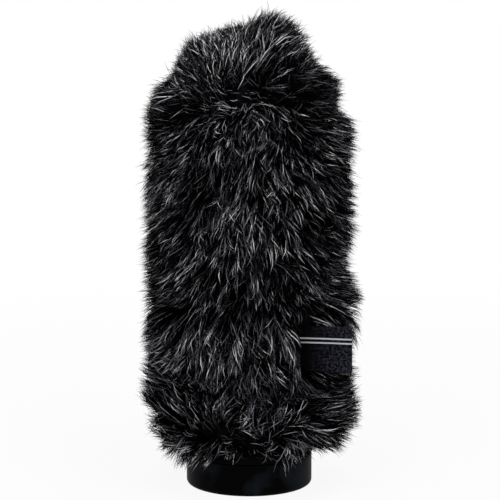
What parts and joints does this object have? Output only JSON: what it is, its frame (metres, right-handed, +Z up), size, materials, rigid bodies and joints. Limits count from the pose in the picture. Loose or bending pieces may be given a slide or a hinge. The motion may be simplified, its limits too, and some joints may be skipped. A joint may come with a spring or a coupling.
{
  "type": "furry windscreen",
  "caption": "Slip-on furry windscreen for a shotgun microphone: long black pile over a domed foam core, a rubber base with a gripping bush, and a sewn-in label.",
  "frame": {"origin": "centre of the base's bottom face, on the surface that the windscreen stands on", "axes": "+Z up along the windscreen towards its domed end, +X to the right and -Y towards the front, where the label shows on the right"},
  "size_m": [0.0812, 0.0812, 0.1859],
  "materials": {
    "base_rubber": "gloss",
    "bush_rubber": "matte",
    "ring_plastic": "matte",
    "acoustic_foam": "matte",
    "knit_backing": "matte",
    "sewing_thread": "satin",
    "binding_tape": "matte",
    "elastic_cord": "matte",
    "woven_label": "satin",
    "fur_pile": "satin"
  },
  "bodies": {
    "windscreen": {"base_cup": "base_rubber", "stiffener_ring": "ring_plastic", "grip_bush": "bush_rubber", "foam_tube": "acoustic_foam", "foam_nose": "acoustic_foam", "backing_sleeve": "knit_backing", "crown_panel_left": "knit_backing", "crown_panel_right": "knit_backing", "side_seam_thread": "sewing_thread", "crown_ring_thread": "sewing_thread", "crown_top_thread": "sewing_thread", "hem_band": "binding_tape", "hem_elastic": "elastic_cord", "hem_thread": "sewing_thread", "pile_body": "fur_pile", "pile_crown_left": "fur_pile", "pile_crown_right": "fur_pile"},
    "label": {"label_tag": "woven_label", "label_thread": "sewing_thread"}
  },
  "joints": [
    {"name": "label_flap", "type": "hinge", "parent": "windscreen", "child": "label", "pos_m": [0.01675, -0.02306, 0.0594], "axis": [0, 0, -1], "range_deg": [-6, 40], "stiffness_Nm_per_rad": 0.0002}
  ]
}
